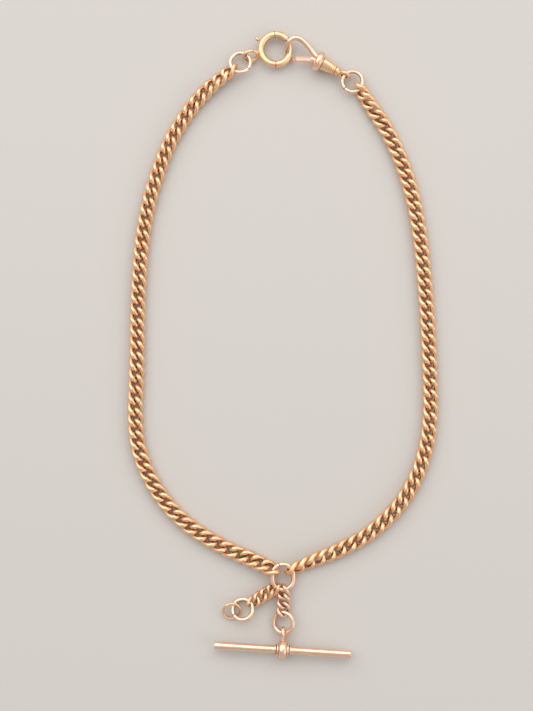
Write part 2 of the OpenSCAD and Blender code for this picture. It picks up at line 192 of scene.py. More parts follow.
def facing(middle, normal, ahead=(1, 0, 0)):
    """A matrix whose Z is a normal turned to point up, and whose X is as near to ahead as it can be."""
    z = Vector(normal).normalized()
    if z.z < -TOUCHING:
        z = -z
    x = Vector(ahead) - z * Vector(ahead).dot(z)
    x.normalize()
    place = Matrix((x, z.cross(x), z)).transposed().to_4x4()
    place.translation = middle
    return place


def box_middle(node):
    """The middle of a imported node's box, in millimetres."""
    low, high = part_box(node)
    return (low + high) / 2 / MM


print("left_strand_1 holds", len(solids_of("left_strand_1")), "links")

# %% [markdown]
# ## Shader maths as Python
#
# A material is a graph of nodes, and a graph of sums is slow to read. Wrapping one socket in a small class
# lets a material be written as an expression, such as 0.28 + spots * 0.25, while the nodes are added behind
# it.


# %% The shading class
class Shade:
    """One output of a material's node graph, with Python's operators for its maths."""

    def __init__(self, tree, socket=None):
        self.tree = tree
        self.socket = socket

    def node(self, kind, settings=None, inputs=None, output=0):
        """Adds a node: its settings first, then a value or a link for each input."""
        made = self.tree.nodes.new(kind)
        for name, value in (settings or {}).items():
            setattr(made, name, value)
        for name, value in (inputs or {}).items():
            if isinstance(value, Shade):
                self.tree.links.new(value.socket, made.inputs[name])
            else:
                made.inputs[name].default_value = value
        return Shade(self.tree, made.outputs[output])

    def maths(self, operation, first, second):
        return self.node("ShaderNodeMath", {"operation": operation}, {0: first, 1: second})

    def __add__(self, other):
        return self.maths("ADD", self, other)

    def __radd__(self, other):
        return self.maths("ADD", other, self)

    def __sub__(self, other):
        return self.maths("SUBTRACT", self, other)

    def __mul__(self, other):
        return self.maths("MULTIPLY", self, other)

    def step(self, low, high):
        """Rises smoothly from 0 at low to 1 at high."""
        settings = {"interpolation_type": "SMOOTHSTEP"}
        return self.node("ShaderNodeMapRange", settings, {0: self, 1: low, 2: high, 3: 0.0, 4: 1.0})

    def blend(self, first, second):
        """The first colour where this is 0, and the second where it is 1."""
        inputs = {0: self, 6: first, 7: second}
        return self.node("ShaderNodeMix", {"data_type": "RGBA"}, inputs, output=2)

    def noise(self, points, scale, detail=2.0, roughness=0.5):
        inputs = {"Vector": points, "Scale": scale, "Detail": detail, "Roughness": roughness}
        return self.node("ShaderNodeTexNoise", None, inputs)


print("a graph's sums can be written as Python")

# %% [markdown]
# ## Worn gold
#
# Old nine-carat gold isn't one colour. Copper in the alloy leans it to rose, skin oils leave a thin brown
# film where cloth never rubs, and years of wear leave the outside bright, with hair scratches and small
# dents. The inner side of each wire also gets that dark film as painted shade, where the next links shade
# it. A flat colour would look like plastic, so each piece marks its inner sides and its seams through two
# attributes, and noise breaks the rest up.

# %% Gold
# How many features of each kind there are to a metre
PATCHES = 420.0
DENTS = 900.0
SPECKS = 2600.0
HAIRS = 9000.0
HAIR_STRETCH = (1.0, 0.12, 0.6)
DENT_DEPTH = 0.0001
DENT_STRENGTH = 0.14


def gold(name, bright, deep, film_and_shade, roughness):
    """A worn gold: rubbed colour, deeper patches, and a dark film of tarnish and painted shade in its hollows."""
    material = bpy.data.materials.new(name)
    material.use_nodes = True
    tree = material.node_tree
    shader = tree.nodes["Principled BSDF"]
    shade = Shade(tree)
    points = shade.node("ShaderNodeTexCoord", output=3)
    hollow = shade.node("ShaderNodeAttribute", {"attribute_name": "hollow"}, output=2)
    seam = shade.node("ShaderNodeAttribute", {"attribute_name": "seam"}, output=2)

    patches = shade.noise(points, PATCHES, 3.0, 0.6).step(0.36, 0.68)
    specks = shade.noise(points, SPECKS, 3.0, 0.6)
    # Painted shade and tarnish: the inner sides of the wires, where the next links shade them, darken to the film
    # colour, with random specks of dirt
    grime_and_shade = (hollow.step(0.2, 1.0) * 0.9 + (specks - 0.5) * 0.4).step(0.25, 0.95)
    colour = patches.blend(bright, deep)
    colour = (grime_and_shade * 0.8).blend(colour, film_and_shade)
    colour = (seam.step(0.15, 0.8) * 0.95).blend(colour, film_and_shade)

    stretched = shade.node("ShaderNodeMapping", None, {"Vector": points, "Scale": HAIR_STRETCH})
    hairs = shade.noise(stretched, HAIRS, 2.0, 0.7)
    dents = shade.noise(points, DENTS, 2.0, 0.5)
    dull = roughness + patches * 0.05 + grime_and_shade * 0.14 + (hairs - 0.5) * 0.1 + seam * 0.2
    relief = dents * 0.75 + specks * 0.05 + hairs * 0.06
    depth = {"Strength": DENT_STRENGTH, "Distance": DENT_DEPTH, "Height": relief}
    bump = shade.node("ShaderNodeBump", None, depth)

    shader.inputs["Metallic"].default_value = 1.0
    tree.links.new(colour.socket, shader.inputs["Base Color"])
    tree.links.new(dull.socket, shader.inputs["Roughness"])
    tree.links.new(bump.socket, shader.inputs["Normal"])
    return material


# The rubbed colour, the deeper patches, the colour of the film and painted shade, and the roughness of each gold
YELLOW = ((1.0, 0.70, 0.44, 1), (0.98, 0.58, 0.35, 1), (0.16, 0.062, 0.022, 1), 0.34)
ROSE = ((1.0, 0.73, 0.55, 1), (0.98, 0.62, 0.46, 1), (0.18, 0.07, 0.032, 1), 0.31)
print("the yellow gold's roughness is", YELLOW[-1])

# %% [markdown]
# ## Spring steel
#
# The two springs are drawn steel wire, hidden in the clasps where damp can reach them. Rust starts in
# random spots, so noise with a sharp threshold gives the spots directly, with nothing painted by hand.

# %% Steel
STEEL = (0.55, 0.54, 0.52, 1)
RUST = (0.24, 0.15, 0.09, 1)
RUST_SPOTS = 3000.0


def steel(name):
    """Drawn spring wire: grey, with a few rusty spots."""
    material = bpy.data.materials.new(name)
    material.use_nodes = True
    tree = material.node_tree
    shader = tree.nodes["Principled BSDF"]
    shade = Shade(tree)
    points = shade.node("ShaderNodeTexCoord", output=3)
    spots = shade.noise(points, RUST_SPOTS, 3.0, 0.6)
    colour = spots.step(0.6, 0.72).blend(STEEL, RUST)
    shader.inputs["Metallic"].default_value = 1.0
    tree.links.new(colour.socket, shader.inputs["Base Color"])
    tree.links.new((0.28 + spots * 0.25).socket, shader.inputs["Roughness"])
    return material


FINISHES = {
    "yellow_gold": gold("yellow_gold", *YELLOW),
    "rose_gold": gold("rose_gold", *ROSE),
    "spring_steel": steel("spring_steel"),
}
print("finishes:", ", ".join(FINISHES))

# %% [markdown]
# ## Finishing a piece
#
# Each mesh ends the same way: meeting points are merged, the faces are turned outwards, and it is scaled
# from millimetres into its place. Edges sharper than a limit stay crisp and the rest shade smooth, which
# keeps a soldered shoulder crisp on an otherwise round wire. A finer wire is a little rounder than the
# packed one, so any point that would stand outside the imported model's box is pulled back to it.

# %% Finishing
SMOOTH_LIMIT = math.radians(38)
MEETING = 1e-4


def layers(shape):
    """The two attributes that the gold reads."""
    names = shape.verts.layers.float
    # The first marks a wire's inner side to darken, as tarnish and painted shade; the second marks joint lines
    hollow = names.get("hollow") or names.new("hollow")
    seam = names.get("seam") or names.new("seam")
    return hollow, seam


def finish(shape, name, *stands_for, place=Matrix.Identity(4)):
    """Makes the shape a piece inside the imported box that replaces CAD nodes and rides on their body."""
    layers(shape)
    bmesh.ops.remove_doubles(shape, verts=shape.verts, dist=MEETING)
    bmesh.ops.recalc_face_normals(shape, faces=shape.faces)
    for face in shape.faces:
        face.smooth = True
    for edge in shape.edges:
        edge.smooth = not edge.is_manifold or edge.calc_face_angle() < SMOOTH_LIMIT
    bmesh.ops.transform(shape, matrix=Matrix.Scale(MM, 4) @ place, verts=shape.verts)
    for point in shape.verts:
        for axis in range(3):
            point.co[axis] = min(max(point.co[axis], cad_box[0][axis]), cad_box[1][axis])
    mesh = bpy.data.meshes.new(name)
    shape.to_mesh(mesh)
    shape.free()
    slot = slot_of[stands_for[0]]
    mesh.materials.append(FINISHES[slot])
    piece = bpy.data.objects.new(name, mesh)
    bpy.context.scene.collection.objects.link(piece)
    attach(piece, body_of[stands_for[0]])
    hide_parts(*stands_for)
    return piece


print("points within", MEETING, "mm of each other are merged")


# %% Joining shapes
def join(shape, extra):
    """Adds one shape to another, and frees the one that was added."""
    carrier = bpy.data.meshes.new("carrier")
    extra.to_mesh(carrier)
    extra.free()
    shape.from_mesh(carrier)
    bpy.data.meshes.remove(carrier)


def add_block(shape, spot, size, edge, segments):
    """Adds a block with rounded edges to a shape."""
    block_place = Matrix.Translation(spot) @ Matrix.Diagonal((*size, 1))
    made = bmesh.ops.create_cube(shape, size=1.0, matrix=block_place)
    rim = list({line for point in made["verts"] for line in point.link_edges})
    bmesh.ops.bevel(
        shape, geom=rim, offset=edge, affect="EDGES", segments=segments, profile=0.5, material=-1,
    )


print("edges over", round(math.degrees(SMOOTH_LIMIT)), "degrees stay crisp")

# %% [markdown]
# ## The curb link
#
# A curb link is an oval of round wire, gripped at both ends and twisted until the chain lies flat. A curve
# with a bevel could draw it, but its tube would pinch in the tight ends. Here a circle is spun into an even
# ring, and each point then moves to the same place on the twisted oval, so the wire keeps its thickness.

# %% Link proportions
LINK_TWIST = math.radians(50)
SIDE_SWELL = 0.85
LINK_STEPS = 44
LINK_SIDES = 12
SPIN_RADIUS = 10.0
NUDGE = math.radians(1)

# Wire, outer width, pitch and slack of a full-size link, in millimetres
STRAND_LINK = {"wire": 1.34, "width": 4.78, "pitch": 3.28, "slack": 0.24}
DROP_LINK = {"wire": 1.0, "width": 4.2, "pitch": 2.6, "slack": 0.24}


def swell(value):
    return math.copysign(abs(value) ** SIDE_SWELL, value)


def twisted_oval(half_length, half_width, angle):
    """A point on the wire's middle line: an oval whose ends are turned opposite ways."""
    turn = -LINK_TWIST * math.sin(math.pi / 2 * math.cos(angle))
    across = half_width * swell(math.sin(angle))
    return Vector((half_length * swell(math.cos(angle)), across * math.cos(turn), across * math.sin(turn)))


print("a strand link's wire is", STRAND_LINK["wire"], "mm")


# %% Link mesh
def spun_ring(radius, wire, steps, sides):
    """A round ring of round wire about Z."""
    ring = bmesh.new()
    upright = Matrix.Translation((radius, 0, 0)) @ Matrix.Rotation(math.pi / 2, 4, "X")
    bmesh.ops.create_circle(ring, segments=sides, radius=wire / 2, matrix=upright)
    bmesh.ops.spin(
        ring, geom=ring.verts[:] + ring.edges[:], cent=(0, 0, 0), axis=(0, 0, 1),
        angle=math.tau, steps=steps, use_merge=True, use_duplicate=False,
    )
    return ring


def curb_link(wire, width, pitch, slack):
    """One full-size link about its own axes, and its half length."""
    link = spun_ring(SPIN_RADIUS, wire, LINK_STEPS, LINK_SIDES)
    hollow = layers(link)[0]
    half_length = (pitch + wire + slack) / 2
    half_width = (width - wire) / 2
    for point in link.verts:
        angle = math.atan2(point.co.y, point.co.x)
        outwards = math.hypot(point.co.x, point.co.y) - SPIN_RADIUS
        sideways = point.co.z
        here = twisted_oval(half_length, half_width, angle)
        ahead = twisted_oval(half_length, half_width, angle + NUDGE)
        along = (ahead - twisted_oval(half_length, half_width, angle - NUDGE)).normalized()
        out = (here - along * here.dot(along)).normalized()
        point.co = here + out * outwards + along.cross(out) * sideways
        # Painted shade and tarnish: the wire's inner side, facing the next links, is marked to darken
        point[hollow] = max(0.0, -outwards / (wire / 2))
    return link, half_length + wire / 2


masters = {"strand": curb_link(**STRAND_LINK), "drop": curb_link(**DROP_LINK)}
print("a link has", len(masters["strand"][0].faces), "faces")

# %% [markdown]
# ## The strands
#
# The left strand is graduated, so a link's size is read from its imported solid: its reach along its own axis
# against a full-size link's. All the links of one folding piece become one mesh, because they move
# together. The two short drops use lighter wire in the same twisted oval, and each of their links is a
# piece of its own.


# %% Placing links
def links_at(node, kind):
    """A mesh of fine links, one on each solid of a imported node."""
    master, reach = masters[kind]
    model = bpy.data.meshes.new("link")
    master.to_mesh(model)
    together = bmesh.new()
    for points in solids_of(node):
        place = own_axes(points)
        middle = place.translation
        lengthwise = place.col[0].to_3d()
        size = max(abs((Vector(point) - middle).dot(lengthwise)) for point in points) / reach
        start = len(together.verts)
        together.from_mesh(model)
        together.verts.ensure_lookup_table()
        moved = place @ Matrix.Scale(size, 4)
        bmesh.ops.transform(together, matrix=moved, verts=together.verts[start:])
    bpy.data.meshes.remove(model)
    return together


for node in sorted(nodes):
    if "_strand_" in node:
        finish(links_at(node, "strand"), node + "_links", node)
    elif "_drop_link_" in node:
        finish(links_at(node, "drop"), node + "_wire", node)
print("placed", len([node for node in nodes if "_strand_" in node]), "pieces of strand")

# %% [markdown]
# ## Rings
#
# A jump ring is wire bent round, closed and soldered. The solder leaves a faint dark line and a slight
# pinch, and the inside is darkened with the brown film, as tarnish and as painted shade. A torus would have
# no seam. Spinning a circle gives the same ring, and the rows of points near one angle become the seam.

# %% Ring mesh
RING_STEPS = 120
RING_SIDES = 20
# How far a ring's inner side darkens, as tarnish and painted shade
RING_FILM_AND_SHADE = 0.8
SEAM_REACH = 4.5
SEAM_PINCH = 0.1
STRAIGHT_EASE = 0.3


def soldered_ring(radius, wire, seam_at, straight=0.0):
    """A wire ring with one soldered seam, stretched along X by a straight length."""
    ring = spun_ring(radius, wire, RING_STEPS, RING_SIDES)
    hollow, seam = layers(ring)
    for point in ring.verts:
        angle = math.degrees(math.atan2(point.co.y, point.co.x))
        outwards = math.hypot(point.co.x, point.co.y) - radius
        away = abs((angle - seam_at + 180) % 360 - 180)
        closeness = max(0.0, 1 - away / SEAM_REACH)
        middle = Vector((math.cos(math.radians(angle)), math.sin(math.radians(angle)), 0)) * radius
        point.co = middle + (point.co - middle) * (1 - SEAM_PINCH * closeness)
        point[seam] = closeness
        # Painted shade and tarnish: the ring's inner side is marked to darken
        point[hollow] = max(0.0, -outwards / (wire / 2)) * RING_FILM_AND_SHADE
        share = min(1.0, abs(point.co.x) / STRAIGHT_EASE)
        point.co.x += math.copysign(share, point.co.x) * straight / 2
    return ring


def film_and_shade_inside(ring, radius, wire, most=1.0):
    """Marks the inner side of a wire bent about Z to darken, as tarnish and painted shade."""
    hollow = layers(ring)[0]
    for point in ring.verts:
        inwards = radius - math.hypot(point.co.x, point.co.y)
        point[hollow] = max(0.0, inwards / (wire / 2)) * most


def ring_of(node, seam_at, straight=0.0, lengthwise=(1, 0, 0)):
    """A soldered ring in the place and at the size of a packed ring."""
    points = solids_of(node)[0]
    axes = own_axes(points)
    place = facing(box_middle(node), axes.col[2].to_3d(), lengthwise)
    own = [place.inverted() @ Vector(point) for point in points]
    wire = max(point.z for point in own) - min(point.z for point in own)
    outer = (max(point.y for point in own) - min(point.y for point in own)) / 2
    return finish(soldered_ring(outer - wire / 2, wire, seam_at, straight), node + "_wire", node, place=place)


ring_of("junction_ring", 20, straight=1.3, lengthwise=(0, 1, 0))
ring_of("t_drop_ring", 128)
ring_of("fob_drop_ring", -150)
ring_of("jump_ring_left", -38)
ring_of("jump_ring_right", -140)
print("placed the soldered rings")

# %% [markdown]
# The thin ring at the fob end was never soldered, so that it can be opened with two pliers. Its spin stops
# short of a full turn, and its two cut ends get a small bevel, as a cutter leaves them. A Screw modifier
# could do this too, but the operator leaves a plain mesh that the bevel can follow.

# %% Cut ring
SPLIT_FROM = 109
SPLIT_TO = 463
SPLIT_STEPS = 90


def bent_rod(radius, wire, start, end, steps, sides=16, edge=0.1):
    """A solid round rod bent about Z from one angle to another, with bevelled ends."""
    rod = bmesh.new()
    upright = Matrix.Rotation(math.radians(start), 4, "Z") @ Matrix.Translation((radius, 0, 0))
    upright = upright @ Matrix.Rotation(math.pi / 2, 4, "X")
    bmesh.ops.create_circle(rod, segments=sides, radius=wire / 2, cap_ends=True, matrix=upright)
    bmesh.ops.spin(
        rod, geom=rod.verts[:] + rod.edges[:] + rod.faces[:], cent=(0, 0, 0), axis=(0, 0, 1),
        angle=math.radians(end - start), steps=steps, use_merge=False, use_duplicate=False,
    )
    bmesh.ops.recalc_face_normals(rod, faces=rod.faces)
    rims = [line for face in rod.faces if len(face.verts) == sides for line in face.edges]
    bmesh.ops.bevel(
        rod, geom=rims, offset=edge, affect="EDGES", segments=2, profile=0.5, material=-1,
    )
    # The rod's inner side darkens, as tarnish and painted shade
    film_and_shade_inside(rod, radius, wire, RING_FILM_AND_SHADE)
    return rod


split_points = solids_of("split_ring")[0]
split_place = facing(box_middle("split_ring"), own_axes(split_points).col[2].to_3d())
split_own = [split_place.inverted() @ Vector(point) for point in split_points]
split_wire = max(point.z for point in split_own) - min(point.z for point in split_own)
split_outer = max(math.hypot(point.x, point.y) for point in split_own)
split_ring = bent_rod(split_outer - split_wire / 2, split_wire, SPLIT_FROM, SPLIT_TO, SPLIT_STEPS)
finish(split_ring, "split_ring_wire", "split_ring", place=split_place)
print("the split ring's gap is", 360 - (SPLIT_TO - SPLIT_FROM), "degrees")

# %% [markdown]
# ## The T-bar
#
# The bar is a drawn tube. Everything on it is round about one axis, so each piece is a profile turned about
# X, as on a lathe. A cylinder primitive has no wall and no worn rim. The profile is a short run of points,
# and its arcs are worked out.

# %% Lathe
LATHE_STEPS = 48
SEAM_WIDTH = 0.03


def arc(middle, radius, start, end, count=7):
    """Points of an arc in the (along, out) plane of a profile."""
    angles = [math.radians(start + (end - start) * i / (count - 1)) for i in range(count)]
    return [(middle[0] + radius * math.cos(a), middle[1] + radius * math.sin(a)) for a in angles]


def turned(profile, closed=False, seams=(), steps=LATHE_STEPS):
    """Turns a profile of (along, out) points about X. Seams lists the places along X of dark joint lines."""
    shape = bmesh.new()
    points = [shape.verts.new((along, 0, out)) for along, out in profile]
    for first, second in zip(points, points[1:] + points[:1] if closed else points[1:]):
        shape.edges.new((first, second))
    bmesh.ops.spin(
        shape, geom=shape.verts[:] + shape.edges[:], cent=(0, 0, 0), axis=(1, 0, 0),
        angle=math.tau, steps=steps, use_merge=True, use_duplicate=False,
    )
    bmesh.ops.remove_doubles(shape, verts=shape.verts, dist=MEETING)
    seam = layers(shape)[1]
    for point in shape.verts:
        if any(abs(point.co.x - at) < SEAM_WIDTH for at in seams):
            point[seam] = 1.0
    return shape


def turned_pair(profile, closed=False, seams=()):
    """A turned piece, and its twin turned end for end about the middle."""
    pair = bmesh.new()
    for side in (0, 1):
        one = turned(profile, closed, seams)
        half_turn = Matrix.Rotation(math.pi * side, 3, "Z")
        bmesh.ops.rotate(one, verts=one.verts, cent=(0, 0, 0), matrix=half_turn)
        join(pair, one)
    return pair


print("the lathe takes", LATHE_STEPS, "steps to a turn")

# %% Bar tube
bar_axis = Vector(joints["bar_spin"]["axis"])
bar_place = facing(box_middle("bar_tube"), (0, 0, 1), bar_axis)
BAR_HALF = 20.1
BAR_RADIUS = 1.15
BAR_BORE = 0.85
BAR_EDGE = 0.28
BAR_ROWS = 24

bar_profile = [(-BAR_HALF, BAR_BORE)]
bar_profile += arc((-BAR_HALF + BAR_EDGE, BAR_RADIUS - BAR_EDGE), BAR_EDGE, 180, 90, 4)
for i in range(1, BAR_ROWS):
    bar_profile.append((-BAR_HALF + BAR_EDGE + (BAR_HALF - BAR_EDGE) * 2 * i / BAR_ROWS, BAR_RADIUS))
bar_profile += arc((BAR_HALF - BAR_EDGE, BAR_RADIUS - BAR_EDGE), BAR_EDGE, 90, 0, 4)
bar_profile += [(BAR_HALF, BAR_BORE)]
finish(turned(bar_profile, closed=True), "bar_tube_body", "bar_tube", place=bar_place)
print("the bar is", 2 * BAR_HALF, "mm long")

# %% [markdown]
# A small disc soldered into each end closes the tube. It sits a hair inside the rim, and its joint shows as
# a dark line. One disc is turned, and its twin faces the other way.

# %% Bar ends
CAP_FROM = BAR_HALF - 0.5
CAP_RADIUS = BAR_BORE - 0.02
CAP_RIM = BAR_HALF - 0.08

disc = [(CAP_FROM, 0.0), (CAP_FROM, CAP_RADIUS), (CAP_RIM, CAP_RADIUS), (BAR_HALF - 0.03, 0.7)]
disc += [(BAR_HALF - 0.01, 0.35), (BAR_HALF, 0.0)]
finish(turned_pair(disc, seams=(CAP_RIM,)), "bar_end_discs", "bar_end_caps", place=bar_place)
print("each end disc is", round(2 * CAP_RADIUS, 2), "mm across")

# %% [markdown]
# A bead turns on the middle of the bar between two stepped collars. The bead is nearly flat across with
# rounded shoulders. Each collar is a wide half-round step, a groove and a narrower step, as the turner's
# tool left them, and the groove holds a dark line.

# %% Bead and collars
BEAD_RADIUS = 2.75
BEAD_WIDTH = 2.3
BORE_GAP = 0.05

half = BEAD_WIDTH / 2
BEAD_CROWN = 0.12
BEAD_CORNER = 0.75
shoulder = BEAD_RADIUS - BEAD_CROWN - BEAD_CORNER
bead = [(-half, BAR_RADIUS + BORE_GAP)]
bead += arc((-half + BEAD_CORNER, shoulder), BEAD_CORNER, 180, 100, 9)
bead += [(0, BEAD_RADIUS)]
bead += arc((half - BEAD_CORNER, shoulder), BEAD_CORNER, 80, 0, 9)
bead += [(half, BAR_RADIUS + BORE_GAP)]
finish(turned(bead, closed=True), "bar_bead_body", "bar_bead", place=bar_place)

start = half + BORE_GAP
groove = (start + 0.62, start + 0.7)
outline = [(start, BAR_RADIUS), (start, 1.62)]
outline += arc((start + 0.3, 1.65), 0.3, 180, 0, 9)
outline += [(groove[0], 1.58), (groove[1], 1.33)]
outline += arc((start + 0.94, 1.3), 0.2, 150, 0, 7)
outline += [(start + 1.15, BAR_RADIUS)]
collars = turned_pair(outline, closed=True, seams=groove)
finish(collars, "bar_collar_rings", "bar_collars", place=bar_place)
print("the bead is", 2 * BEAD_RADIUS, "mm across")

# %% [markdown]
# The bead hangs from an upright eye on a short flared stem. Eye and stem are one casting, so the spun ring
# and the turned stem are joined into one mesh before they are placed.

# %% Bar eye
EYE_RADIUS = 1.5
EYE_WIRE = 1.16
EYE_ROWS = 56
EYE_SIDES = 18
STEM = [(-2.55, 0.0), (-2.5, 0.72), (-2.0, 0.66), (-1.6, 0.56), (-1.5, 0.0)]
STEM_SEAM = -2.5

eye_low, eye_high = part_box("bar_eye")
eye_middle = Vector((
    box_middle("bar_eye").x,
    eye_high.y / MM - EYE_RADIUS - EYE_WIRE / 2,
    eye_low.z / MM + EYE_RADIUS + EYE_WIRE / 2,
))
eye = spun_ring(EYE_RADIUS, EYE_WIRE, EYE_ROWS, EYE_SIDES)
# The eye's inner side darkens, as tarnish and painted shade
film_and_shade_inside(eye, EYE_RADIUS, EYE_WIRE, RING_FILM_AND_SHADE)
join(eye, turned(STEM, seams=(STEM_SEAM,)))

# The eye's X becomes the model's Y, its Y the model's Z, and its Z the model's X
standing = Matrix(((0, 0, 1, 0), (1, 0, 0, 0), (0, 1, 0, 0), (0, 0, 0, 1)))
finish(eye, "bar_eye_loop", "bar_eye", place=Matrix.Translation(eye_middle) @ standing)
print("the eye's hole is", round(2 * EYE_RADIUS - EYE_WIRE, 2), "mm")

# %% [markdown]
# ## The bolt ring
#
# A bolt ring is a bent tube, cut open on one side. A thinner curved bolt slides inside it, pushed shut by a
# coil spring and drawn back by a thumb knob that runs in a slot. A bevelled curve would be a solid with no
# wall. Here each length of tube is an outer and an inner spin joined at their ends, so its mouth shows a
# true wall with the bolt inside.

# %% Tube lengths
RING_RADIUS = 4.35
TUBE_RADIUS = 1.0
BORE_RADIUS = 0.72
TUBE_SIDES = 24
TUBE_BEVEL = 0.12
# How far the inner side of the ring's tube darkens, as tarnish and painted shade
TUBE_FILM_AND_SHADE = 0.7
TUBE_SEAM_REACH = 2.4
BORE_MARGIN = 0.05
ring_place = Matrix.Translation(Vector(joints["bolt_slide"]["pos_m"]) / MM)


def arc_wall(shape, radius, start, end, steps):
    """Adds an open curved tube about Z, and gives its edges."""
    before = set(shape.edges)
    upright = Matrix.Rotation(math.radians(start), 4, "Z") @ Matrix.Translation((RING_RADIUS, 0, 0))
    upright = upright @ Matrix.Rotation(math.pi / 2, 4, "X")
    made = bmesh.ops.create_circle(shape, segments=TUBE_SIDES, radius=radius, matrix=upright)
    loop = list({edge for point in made["verts"] for edge in point.link_edges})
    bmesh.ops.spin(
        shape, geom=made["verts"] + loop, cent=(0, 0, 0), axis=(0, 0, 1),
        angle=math.radians(end - start), steps=steps, use_merge=False, use_duplicate=False,
    )
    return [edge for edge in shape.edges if edge not in before]


def ends_of(edges, start, end):
    """The end loops at the two angles."""
    loops = []
    for angle in (start, end):
        direction = Vector((-math.sin(math.radians(angle)), math.cos(math.radians(angle)), 0))
        radial = Vector((math.cos(math.radians(angle)), math.sin(math.radians(angle)), 0))
        loops.append([
            edge for edge in edges
            if all(
                abs(point.co.dot(direction)) < MEETING and point.co.dot(radial) > 0
                for point in edge.verts
            )
        ])
    return loops


def bent_tube(start, end, step=2.0):
    """A hollow curved tube with slightly rounded ends."""
    tube = bmesh.new()
    steps = round((end - start) / step)
    outer = arc_wall(tube, TUBE_RADIUS, start, end, steps)
    inner = arc_wall(tube, BORE_RADIUS, start, end, steps)
    rims = []
    for outside, inside in zip(ends_of(outer, start, end), ends_of(inner, start, end)):
        bmesh.ops.bridge_loops(tube, edges=outside + inside)
        rims += outside
    bmesh.ops.bevel(
        tube, geom=rims, offset=TUBE_BEVEL, affect="EDGES", segments=2, profile=0.5, material=-1,
    )
    return tube


def film_shade_and_seams(tube, *seams):
    """Marks a tube's bore and inner side to darken, as tarnish and painted shade, and marks its joint lines."""
    hollow, seam = layers(tube)
    for point in tube.verts:
        reach = math.hypot(point.co.x, point.co.y)
        from_middle = math.hypot(reach - RING_RADIUS, point.co.z)
        angle = math.degrees(math.atan2(point.co.y, point.co.x))
        # Painted shade and tarnish: the bore is marked fully dark, and the outer wall darkens towards the ring's
        # middle
        inside = 1.0 if from_middle < BORE_RADIUS + BORE_MARGIN else 0.0
        point[hollow] = max(inside, (RING_RADIUS - reach) / TUBE_RADIUS * TUBE_FILM_AND_SHADE)
        nearest = min(abs((angle - at + 180) % 360 - 180) for at in seams)
        point[seam] = max(0.0, 1 - nearest / TUBE_SEAM_REACH)
    return tube


print("the tube's wall is", round(TUBE_RADIUS - BORE_RADIUS, 2), "mm")

# %% [markdown]
# The housing has a slot in its outer side for the knob's stem. A boolean could cut it, but the slot follows
# the tube's own rows, so the faces there are deleted in both walls, and the two open edges are bridged to
# close the slot's sides.

# %% Housing with its slot
SLOT = (146, 190)
SLOT_SIDE = math.radians(16)
HOUSING_SPAN = (94, 270)

housing = bent_tube(*HOUSING_SPAN)
cut = []
for face in housing.faces:
    middle = face.calc_center_median()
    angle = math.degrees(math.atan2(middle.y, middle.x)) % 360
    reach = math.hypot(middle.x, middle.y) - RING_RADIUS
    if SLOT[0] < angle < SLOT[1] and abs(math.atan2(middle.z, reach)) < SLOT_SIDE:
        cut.append(face)
bmesh.ops.delete(housing, geom=cut, context="FACES")
open_edges = [edge for edge in housing.edges if edge.is_boundary]
bmesh.ops.bridge_loops(housing, edges=open_edges)
finish(film_shade_and_seams(housing, *HOUSING_SPAN), "bolt_ring_housing_tube", "bolt_ring_housing", place=ring_place)
print("the slot takes", len(cut), "faces")

# %% [markdown]
# A plain sleeve carries on from the housing to the mouth, and the arm closes the ring on the mouth's other
# side. Both are shorter lengths of the same tube, with a joint line where they meet the housing.

# %% Sleeve and arm
SLEEVE_SPAN = (42, 94)
ARM_SPAN = (-90, -21)
ARM_STEP = 1.5

sleeve = film_shade_and_seams(bent_tube(*SLEEVE_SPAN), SLEEVE_SPAN[1])
finish(sleeve, "bolt_ring_sleeve_tube", "bolt_ring_sleeve", place=ring_place)
arm = film_shade_and_seams(bent_tube(*ARM_SPAN, ARM_STEP), ARM_SPAN[0])
finish(arm, "bolt_ring_arm_tube", "bolt_ring_arm", place=ring_place)
print("the mouth is", SLEEVE_SPAN[0] - ARM_SPAN[1], "degrees wide")

# %% [markdown]
# The bolt is a solid rod bent to the ring's own curve, so it slides round inside the tube. Its knob is a
# small ball on a thin stem with a flared foot. The stem is turned about X and swung round to the slot.

# %% Bolt and knob
BOLT_RADIUS = 0.5
BOLT_SPAN = (-29, 146)
BOLT_STEPS = 88
BOLT_SIDES = 16
BOLT_BEVEL = 0.12
KNOB_AT = math.radians(151)
KNOB_MIDDLE = 6.25
KNOB_RADIUS = 0.6
KNOB_FOOT = 5.6
KNOB_STEM = 0.22
KNOB_STEPS = 24

bolt = bent_rod(RING_RADIUS, 2 * BOLT_RADIUS, *BOLT_SPAN, BOLT_STEPS, BOLT_SIDES, BOLT_BEVEL)
finish(bolt, "bolt_rod", "bolt", place=ring_place)

knob_profile = [(RING_RADIUS, 0.0), (RING_RADIUS, KNOB_STEM), (5.45, KNOB_STEM)]
knob_profile += [(KNOB_FOOT, 0.3), (5.72, 0.34)]
knob_profile += arc((KNOB_MIDDLE, 0), KNOB_RADIUS, 140, 0, 12)
knob = turned(knob_profile, seams=(KNOB_FOOT,), steps=KNOB_STEPS)
knob_place = ring_place @ Matrix.Rotation(KNOB_AT, 4, "Z")
finish(knob, "thumb_knob_ball", "thumb_knob", place=knob_place)
print("the bolt is", 2 * BOLT_RADIUS, "mm thick")

# %% [markdown]
# ## The connector
#
# The bolt ring hangs on a small oval loop with a soldered block, where the loop's wire was closed. The loop
# is the same soldered ring with a short straight. The block is a cube with every edge rounded, because a
# file never leaves a sharp one.

# %% Connector
CONNECTOR_RADIUS = 1.6
CONNECTOR_WIRE = 0.84
CONNECTOR_STRAIGHT = 1.0
CONNECTOR_SEAM = 250
CONNECTOR_TURN = math.radians(14)
CONNECTOR_LEAN = math.radians(45)
BLOCK_SPOT = (0.45, -1.72, 0)
BLOCK_SIZE = (0.9, 1.2, 1.24)
BLOCK_EDGE = 0.16

